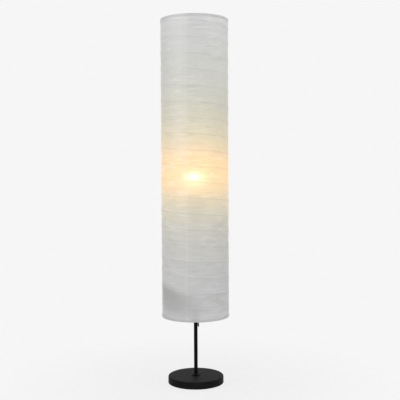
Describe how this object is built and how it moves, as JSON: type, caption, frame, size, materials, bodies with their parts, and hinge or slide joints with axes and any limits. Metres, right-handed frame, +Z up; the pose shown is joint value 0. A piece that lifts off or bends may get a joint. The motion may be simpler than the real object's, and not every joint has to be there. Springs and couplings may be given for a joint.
{
  "type": "floor lamp",
  "caption": "Slim black pole on a weighted round foot, with a tall drum-shaped paper shade on a spiral wire that slides up to collapse.",
  "frame": {"origin": "centre of the foot on the floor, where the pole's axis meets it", "axes": "+Z up along the pole; -Y is the front, the side that the picture shows; the clamp lever and one support wire are on +X; the cord gland is at the rear, +Y"},
  "size_m": [0.218, 0.2178, 1.17],
  "materials": {
    "black_steel": "satin",
    "bare_steel": "satin",
    "cast_iron": "matte",
    "foot_rubber": "matte",
    "black_moulding": "satin",
    "ivory_moulding": "satin",
    "porcelain": "satin",
    "brass": "satin",
    "aluminium_cap": "satin",
    "brown_insulation": "satin",
    "blue_insulation": "satin",
    "opal_glass": "satin",
    "clear_glass": "polished",
    "tungsten": "satin",
    "shade_paper": "matte"
  },
  "bodies": {
    "stand": {"foot_pads": "foot_rubber", "bottom_plate": "black_steel", "bottom_plate_screws": "bare_steel", "cast_weight": "cast_iron", "foot_cover": "black_steel", "cord_gland": "black_moulding", "terminal_block": "ivory_moulding", "terminal_screws": "brass", "foot_nipple": "bare_steel", "foot_washer": "bare_steel", "foot_nut": "bare_steel", "foot_collar": "black_steel", "lower_pole": "black_steel", "pole_coupler": "bare_steel", "upper_pole": "black_steel", "lead_live": "brown_insulation", "lead_neutral": "blue_insulation", "holder_nipple": "bare_steel", "holder_nut": "bare_steel", "holder_cap": "black_moulding", "holder_body": "black_moulding", "contact_block": "porcelain", "centre_contact": "brass", "screw_shell": "brass", "holder_screws": "brass", "shade_ring_nut": "black_moulding", "harp_saddle": "bare_steel", "harp_wire_left": "bare_steel", "harp_wire_right": "bare_steel", "harp_bridge": "bare_steel", "top_crossbar": "bare_steel", "finial_nut": "bare_steel", "top_ring": "bare_steel", "rib_wire": "bare_steel", "paper_shade": "shade_paper"},
    "shade_carrier": {"bottom_ring": "bare_steel", "bottom_crossbar": "bare_steel", "slide_collar": "black_steel", "lever_pin": "bare_steel"},
    "clamp_lever": {"clamp_lever": "black_steel"},
    "bulb": {"bulb_glass": "opal_glass", "bulb_cap": "aluminium_cap", "bulb_insulator": "black_moulding", "bulb_contact": "aluminium_cap", "bulb_stem": "clear_glass", "bulb_filament": "tungsten"}
  },
  "joints": [
    {"name": "carrier_slide", "type": "slide", "parent": "stand", "child": "shade_carrier", "axis": [0, 0, 1], "range_m": [0, 0.315], "deforming": ["rib_wire"]},
    {"name": "clamp_lever_swing", "type": "hinge", "parent": "shade_carrier", "child": "clamp_lever", "pos_m": [0.0092, 0, 0.2035], "axis": [0, -1, 0], "range_deg": [0, 80]},
    {"name": "bulb_turn", "type": "hinge", "parent": "stand", "child": "bulb", "pos_m": [0, 0, 0.6], "axis": [0, 0, 1], "range_deg": [0, 1440]}
  ]
}
